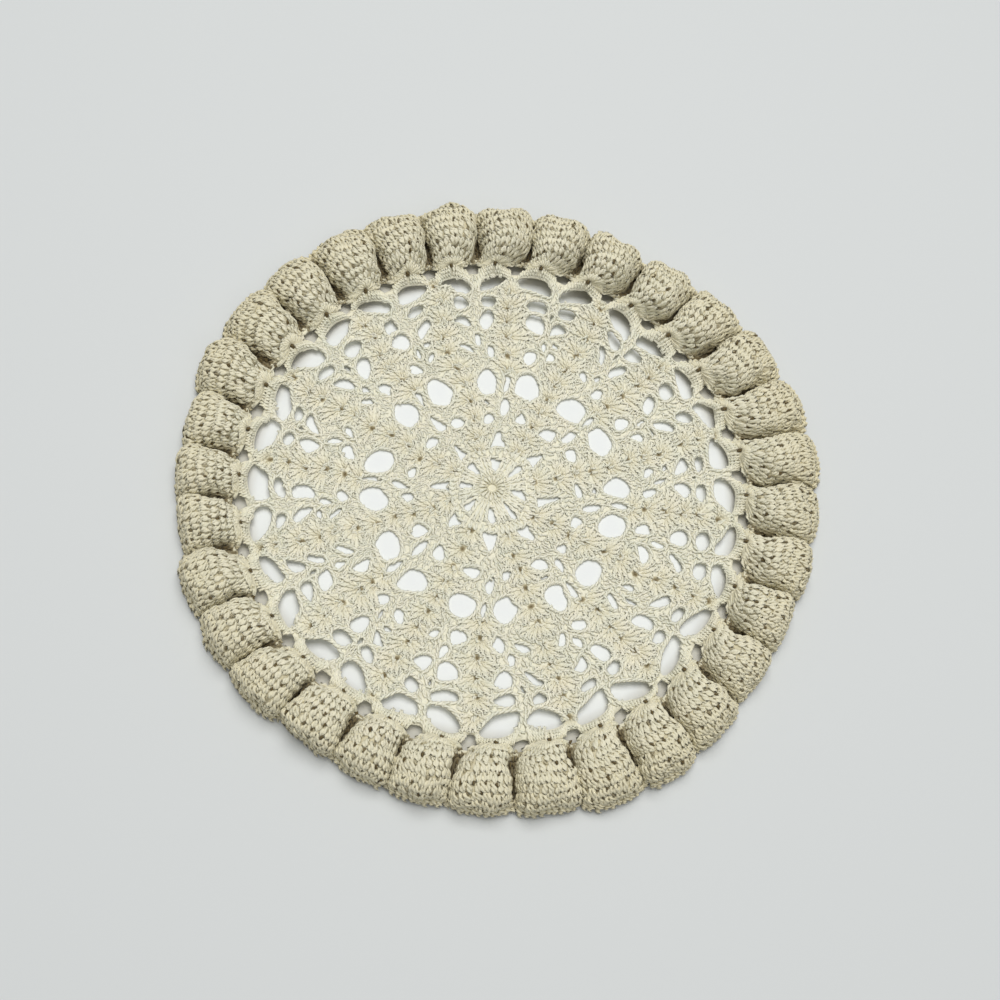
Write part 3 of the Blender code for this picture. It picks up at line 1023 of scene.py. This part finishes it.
turn = np.arange(RING_POSTS) * 22.5 + jitter(RING_POSTS, 1.5)
lay_flat(SHORT_POST, turn, 1.25, turn, 3.7 + jitter(RING_POSTS, 0.1),
         (0.34, 0.5, 0.72), 0.55, 0.5, (0.25, 0.0))
for bar in range(BARS):
    across = np.array((-0.95, -0.3, 0.3, 0.95))
    turn, out = beside(bar * 45.0, across, 3.5)
    turn_top, out_top = beside(bar * 45.0, across * 2.3 + jitter(4, 0.15), 10.4 + jitter(4, 0.2))
    lay_flat(LONG_POST, turn, out, turn_top, out_top, (0.5, 0.66, 0.9), 0.42, 0.2)
turn = np.arange(ROUND_POSTS) * 360 / ROUND_POSTS + jitter(ROUND_POSTS, 0.8)
lay_flat(SHORT_POST, turn, 10.9 + jitter(ROUND_POSTS, 0.15), turn, 13.2 + jitter(ROUND_POSTS, 0.2),
         (0.75, 0.85, 0.95), 0.42, 0.25)

# %% [markdown]
# ## The arches
# The last round of the lace has an arch between each two posts. Short trebles are worked over
# its chain, close beside each other, in two groups with an eye between; the frill's shells grow
# out of those eyes. Over each post is a hole with a half ring of small stitches outside it.

# %% Arches
RIBS, RING_WRAPS = 7, 9
RING_MIDDLE, RING_FLAT, RING_REACHES = 75.2, 0.75, (3.05, 4.45)
arch_posts = []


def arch_edge(outline, index):
    """The outer edge of an arch's hole, as degrees from the arch's middle and out."""
    turn, out = np.degrees(np.arctan2(outline[:, 1], outline[:, 0])), np.hypot(*outline.T)
    away = (turn - (index + 0.5) * SHELL_PITCH + 180) % 360 - 180
    ends = (away.min(), away.max()), (out[away.argmin()], out[away.argmax()])
    outer = out >= np.interp(away, *ends)
    order = np.argsort(away[outer])
    return away[outer][order], out[outer][order]


def add_ribs(arch):
    """Two groups of short trebles over the chain of an arch."""
    middle = (arch + 0.5) * SHELL_PITCH
    share = np.linspace(0.0, 1.0, RIBS)
    for hand in (1, -1):
        away = hand * (0.45 + share * 4.2)
        out = np.interp(away, *arch_edges[arch]) + 0.15 + jitter(RIBS, 0.06)
        away_top = hand * (0.6 + share * 3.3) + jitter(RIBS, 0.06)
        out_top = 75.4 - 0.3 * share + jitter(RIBS, 0.15)
        base, normal = cloth_point(middle + away, out, -0.5)
        top, normal_top = cloth_point(middle + away_top, out_top, -0.1)
        # a trace of painted shade at the ribs' tops
        arch_posts.append(lay(LONG_POST, base, top, normal, (0.56, 0.66, 0.7), 0.55, 0.6,
                              (0.0, 0.1), normal_top))


def add_half_ring(arch):
    """Small stitches round the outer half of the hole over a post."""
    ring = np.radians(np.linspace(-100, 100, RING_WRAPS)) + jitter(RING_WRAPS, 0.03)
    spots = []
    for reach in RING_REACHES:
        x, r = reach * np.sin(ring), RING_MIDDLE + RING_FLAT * reach * np.cos(ring)
        spots.append(foot_point(arch * SHELL_PITCH + np.degrees(x / r), r, -0.2))
    (base, normal), (top, normal_top) = spots
    # their outer ends, under the frill's foot, get painted shade
    arch_posts.append(lay(SHORT_POST, base, top, normal, (0.56, 0.74, 0.86), 0.6, 0.5,
                          (0.05, 0.5), normal_top))


arch_edges = {}
for name, outline, middle, _ in holes:
    if name.startswith("arch"):
        turn = np.mod(np.degrees(math.atan2(middle[1], middle[0])), 360)
        index = int(math.floor(turn / SHELL_PITCH))
        arch_edges[index] = arch_edge(outline, index)
for arch in range(SHELLS):
    add_ribs(arch)
    add_half_ring(arch)

# %% [markdown]
# ## The frill
# From each eye a fan of trebles opens over the shell, and further rounds follow, in which the
# trebles stand in pairs that open upwards. The pairs of one round stand in the gaps of the round
# before, and in more than half of the gaps one looks through a small hole into the dark below.
# Each such hole is one short stitch in painted shade, dark brown and a little sunk, because a real
# hole would have to go through the ground. Round the whole edge small loops hang down to the table.

# %% Rounds of the frill
ROW_PLACES = np.array((3.6, 7.1, 10.1, 13.0, 16.0, 19.0, 22.0, 25.0, 28.0, 30.4)) / OUTLINE_LENGTH
ROW_BEND = 0.06
ROW_LENGTH = np.linalg.norm(np.diff(FRILL, axis=2), axis=-1).sum(axis=2)
WAVES = rng.uniform(*ANY_PHASE, (SHELLS, 4))
frill_posts, frill_edge = [[] for _ in ROW_PLACES[1:]], []
print("width of a shell's rows in mm:", ROW_LENGTH.mean(axis=0)[::10].round(1))


def row_length(shell, along):
    return float(np.interp(along * (ALONG - 1), np.arange(ALONG), ROW_LENGTH[shell]))


def row_along(row, across):
    """Where a round lies along the shell: it bends round the eye that the shell grew from."""
    bend = ROW_BEND * (1 - row / len(ROW_PLACES))
    return ROW_PLACES[row] - bend * (2 * across - 1) ** 2


def waved(shell, along, across):
    """The place after the rounds' small waves, which no crochet is without."""
    one, two, three, four = WAVES[shell]
    moved = 0.012 * np.sin(9 * across + one) + 0.009 * np.sin(19 * across + 9 * along + two)
    aside = 0.012 * np.sin(12 * along + three) + 0.01 * np.sin(21 * along + 9 * across + four)
    free = smooth(along * 4) * smooth((0.97 - along) * 12)
    return along + moved * free, across + aside * free


def lay_frill(row, unit, shell, places, wide, bow, painted_shade, thick=0.58, above=0.0):
    """Stitches of a shell by way of (along, across) at base, middle and top."""
    spots = [frill_point(shell, *waved(shell, along, across), above) for along, across in places]
    (base, normal), (middle, _), (top, normal_top) = spots
    groove = groove_shade_share(places[1][1], places[1][0])
    middle = middle + normal * jitter(len(base), 0.14)[:, None]
    # a stitch in a groove gets at least the groove's painted shade
    painted_shade = tuple(np.maximum(groove, d) for d in painted_shade)
    frill_posts[row].append(
        lay(unit, base, top, normal, wide, thick, bow, painted_shade, normal_top, middle)
    )


# %% Fans and pairs
FAN, FAN_EYE_STEPS = 17, (-0.026, -0.004, 0.02)
PAIR_PITCH, FIRST_PAIR, LAST_PAIR = 3.15, 0.07, 0.93
# share of gaps shown as holes, and the painted shade of the dark stitches that stand for them
OPEN_GAPS, OPEN_SHADES = 0.62, (0.5, 1.25)
GAP_STEPS, GAP_ABOVE, GAP_HALF = (-0.01, 0.012, 0.034), (-0.05, 0.05), (0.56, 0.85)


def add_fan(shell):
    """Trebles from the eye up to the first round, and a dark stitch as painted shade in the eye."""
    spread = np.linspace(-1, 1, FAN)
    high = row_along(1, 0.5 + spread * 0.44) + jitter(FAN, 0.004)
    low = ROW_PLACES[0] + 0.022 - 0.035 * spread**2
    places = (
        (low, 0.5 + spread * 0.07),
        (low + (high - low) * (0.5 - 0.1 * spread**2), 0.5 + spread * 0.28),
        (high, 0.5 + spread * 0.44),
    )
    # the fan's feet get painted shade
    lay_frill(0, POST, shell, places, (0.3, 0.8, 1.0), 0.16, (0.35, 0.05))
    eye = [(np.array([ROW_PLACES[0] + step]), np.array([0.5])) for step in FAN_EYE_STEPS]
    lay_frill(0, STUB, shell, eye, (0.5, 0.95, 0.7), 0.1, (1.0, 1.0), 0.45, 0.12)


def add_round(shell, row):
    """One round of paired trebles; in each gap a stitch in dark painted shade, or a short stitch.
    """
    length = row_length(shell, ROW_PLACES[row])
    pairs = max(int(round(length / PAIR_PITCH)), 4)
    places = (np.arange(pairs) + (0.25 if row % 2 else 0.75)) / pairs
    places = places + jitter(pairs, 0.05 / pairs)
    places = places[(places > FIRST_PAIR) & (places < LAST_PAIR)]
    size, mm = len(places), 1 / length
    low = row_along(row, places) - 0.006 + jitter(size, 0.006)
    high = row_along(row + 1, places) + jitter(size, 0.006)
    lean = jitter(size, 0.16)
    for hand in (-1, 1):
        pair_places = (
            (low + jitter(size, 0.004), places + hand * 0.34 * mm),
            (low * 0.5 + high * 0.5,
             places + (hand * 0.74 + lean * 0.5 + jitter(size, 0.05)) * mm),
            (high + jitter(size, 0.006), places + (hand * 0.84 + lean) * mm),
        )
        wide = (0.55, 1.04 + jitter(size, 0.05), 1.1)
        # the pairs get a little painted shade at their feet
        lay_frill(row, POST, shell, pair_places, wide, 0.26, (0.15, 0.03), 0.52)
    # gaps shown as holes get dark painted shade, the others a little
    is_open = rng.uniform(0, 1, size) < OPEN_GAPS
    shade = rng.uniform(*OPEN_SHADES, size)
    kinds = zip((is_open, ~is_open), (shade, shade * 0.1), GAP_ABOVE, GAP_HALF)
    for kind, painted_shade, above, wide in kinds:
        gap, foot = (places + 0.5 / pairs)[kind], low[kind]
        painted_shade = np.minimum(painted_shade, 1.0)[kind]
        gap_places = [(foot + step, gap + jitter(len(gap), 0.12) * mm) for step in GAP_STEPS]
        lay_frill(row, STUB, shell, gap_places, (wide,) * 3, 0.1, (painted_shade, painted_shade), 0.4, above)


# %% Grooves and edge
# each line of stitches in a groove: place across the shell, last place along it, and count
GROOVE_LINES = ((0.02, 0.86, 8), (0.065, 0.42, 4), (0.11, 0.34, 3))
GROOVE_FIRST, GROOVE_STEPS = 0.24, (0.0, 0.04, 0.08)
# each layer of loops: unit, place along the shell, how far out and how high the loops end, painted
# shade
EDGE_LAYERS = ((SHORT_POST, 0.945, 0.9, 1.45, 0.05), (STUB, 0.985, 1.3, 0.9, 0.3))
EDGE_LOOP, EDGE_FOOT = 1.75, 0.985


def add_groove(shell):
    """A few stitches on the floor of the groove before a shell, in painted shade."""
    for across, last, count in GROOVE_LINES:
        for side in (across, 1 - across):
            low = np.linspace(GROOVE_FIRST, last, count) + jitter(count, 0.012)
            places = [(low + step, side + jitter(count, 0.005)) for step in GROOVE_STEPS]
            lay_frill(0, STUB, shell, places, (0.6, 0.8, 0.6), 0.2, (0.6, 0.6))


def add_edge(shell):
    """Small loops that hang from the edge down to the table, in two layers."""
    count = int(round(row_length(shell, 0.95) * 0.96 / EDGE_LOOP))
    for unit, along, out, up, painted_shade in EDGE_LAYERS:
        edge = np.linspace(0.02, 0.98, count) + jitter(count, 0.008)
        base, normal = frill_point(shell, along + jitter(count, 0.006), edge, 0.15)
        foot, _ = frill_point(shell, EDGE_FOOT, edge)
        heading = unit_length((normal + 1e-6) * (1, 1, 0))
        top = foot + heading * (out + jitter(count, 0.3)[:, None])
        top[:, 2] = up + jitter(count, 0.1)
        facing = unit_length(normal + UP)
        middle = (base + foot) / 2 + heading * out * 0.8
        middle[:, 2] = np.maximum(middle[:, 2], up + 0.2)
        frill_edge.append(lay(unit, base, top, facing, (1.1, 1.45, 1.3), 0.72, 0.0,
                              (painted_shade, painted_shade), facing, middle))


for shell in range(SHELLS):
    add_fan(shell)
    for row in range(1, len(ROW_PLACES) - 1):
        add_round(shell, row)
    add_groove(shell)
    add_edge(shell)

# %% [markdown]
# ## Making the pieces
# The ground is one piece; the stitches go with it. The frill's rounds are shared out over three
# pieces, so that none is too heavy to handle.

# %% Pieces
STITCHES = {
    "spoke_trebles": spoke_posts + centre_posts,
    "spoke_tops": spoke_tops,
    "hole_edges": edge_links + fill_stubs,
    "arch_round": arch_posts,
    "frill_fans": frill_posts[0] + frill_edge,
    "frill_rounds_inner": sum(frill_posts[1:4], []),
    "frill_rounds_middle": sum(frill_posts[4:6], []),
    "frill_rounds_outer": sum(frill_posts[6:], []),
}
ground = make_piece("lace_ground", [lace_ground, frill_ground])
pieces = [make_piece(name, patches) for name, patches in STITCHES.items()]

# %% [markdown]
# ## Cotton
# The thread is matt cream cotton of several plies. What makes it look like thread are three
# things: its colour, which differs from stitch to stitch and in soft patches over the cloth, is
# warmer over the frill, and is painted warm and then brown as painted shade where it lies deep
# and in the holes between stitches; plies wind round each strand; and short fibres stand out of
# it. The first is one group of nodes and the other two are another.

# %% Colour of the thread
PALE, CREAM = (0.845, 0.855, 0.71, 1.0), (0.985, 0.935, 0.77, 1.0)
# warm: painted warm shade where thread lies deep, and the frill's warmer tone; brown: painted shade
WARM, PAINTED_SHADE_BROWN = (0.80, 0.73, 0.50, 1.0), (0.15, 0.108, 0.042, 1.0)
PATCHES, PATCH_REACH, TONE_REACH = (110, 3), (0.2, 1.6), (-0.2, 2.2)
# how much painted shade makes the thread warm, and then brown
PAINTED_WARM_SHADE_REACH, PAINTED_SHADE_REACH = (0.0, 0.5), (0.3, 1.0)
FRILL_WARMTH = (0.070, 0.100)  # from where the thread is warmer over the frill, and where it is all so


def new_group(name, inputs, outputs):
    group = bpy.data.node_groups.new(name, "ShaderNodeTree")
    for direction, sockets in (("INPUT", inputs), ("OUTPUT", outputs)):
        for label, kind in sockets.items():
            group.interface.new_socket(label, in_out=direction, socket_type="NodeSocket" + kind)
    given, made = group.nodes.new("NodeGroupInput"), group.nodes.new("NodeGroupOutput")
    return group, given.outputs, made


def mix_colour(tree, one, two, share):
    inputs = {"A": one, "B": two, "Factor": share}
    return add_node(tree, "Mix", inputs, data_type="RGBA").outputs["Result"]


def noise(tree, place, scale, detail):
    """Noise over places, with scale counted per metre."""
    inputs = {"Vector": place, "Scale": scale, "Detail": detail}
    return add_node(tree, "TexNoise", inputs).outputs["Fac"]


def map_range(tree, value, low, high):
    """A value counted from low, 0, to high, 1."""
    inputs = {"Value": value, "From Min": low, "From Max": high}
    return add_node(tree, "MapRange", inputs).outputs["Result"]


def thread_colour():
    tree, given, made = new_group(
        "thread_colour", {"Place": "Vector", "Tone": "Float", "Depth": "Float"}, {"Colour": "Color"}
    )
    patches = map_range(tree, noise(tree, given["Place"], *PATCHES), *PATCH_REACH)
    tone = map_range(tree, given["Tone"], *TONE_REACH)
    own = add_node(tree, "Math", {0: patches, 1: tone}, operation="ADD").outputs["Value"]
    far = add_node(tree, "VectorMath", {0: given["Place"]}, operation="LENGTH").outputs["Value"]
    colour = mix_colour(tree, PALE, CREAM, own)
    # painted warm shade, the frill's warmer tone, and painted brown shade
    for value, reach, other in (
        (given["Depth"], PAINTED_WARM_SHADE_REACH, WARM), (far, FRILL_WARMTH, WARM), (given["Depth"], PAINTED_SHADE_REACH, PAINTED_SHADE_BROWN)
    ):
        colour = mix_colour(tree, colour, other, map_range(tree, value, *reach))
    set_inputs(made, {"Colour": colour})
    return tree


# %% Plies and fibres
PLIES, FIBRES, PLY_SHARE = (1500, 1), (5200, 2), 2.2


def thread_height():
    tree, given, made = new_group("thread_height", {"Place": "Vector"}, {"Height": "Float"})
    plies, fibres = (noise(tree, given["Place"], *grain) for grain in (PLIES, FIBRES))
    both = add_node(tree, "Math", {0: plies, 1: PLY_SHARE, 2: fibres}, operation="MULTIPLY_ADD")
    set_inputs(made, {"Height": both.outputs["Value"]})
    return tree


# %% Cotton material
COTTON_FINISH = {
    "Roughness": 0.85, "Specular IOR Level": 0.25, "Sheen Weight": 0.15, "Sheen Roughness": 0.5,
}
BUMP = {"Strength": 0.7, "Distance": 0.00014}


def make_cotton():
    cotton, tree, shader = new_material("cream_cotton_thread", COTTON_FINISH)
    place = add_node(tree, "TexCoord", {}).outputs["Object"]
    tone, painted_shade = (
        add_node(tree, "Attribute", {}, attribute_name=name).outputs["Fac"]
        for name in ("tone", "painted_shade")
    )
    given = {"Place": place, "Tone": tone, "Depth": painted_shade}
    colour = add_node(tree, "Group", given, node_tree=thread_colour()).outputs["Colour"]
    height = add_node(tree, "Group", {"Place": place}, node_tree=thread_height()).outputs["Height"]
    bump = add_node(tree, "Bump", BUMP | {"Height": height}).outputs["Normal"]
    set_inputs(shader, {"Base Color": colour, "Normal": bump})
    return cotton


cotton = make_cotton()
print("cotton has", len(cotton.node_tree.nodes), "nodes and two groups")

# %% The pieces on the frame
for piece in [ground] + pieces:
    piece.data.materials.append(cotton)
    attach(piece, "root")
    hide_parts("lace_doily")
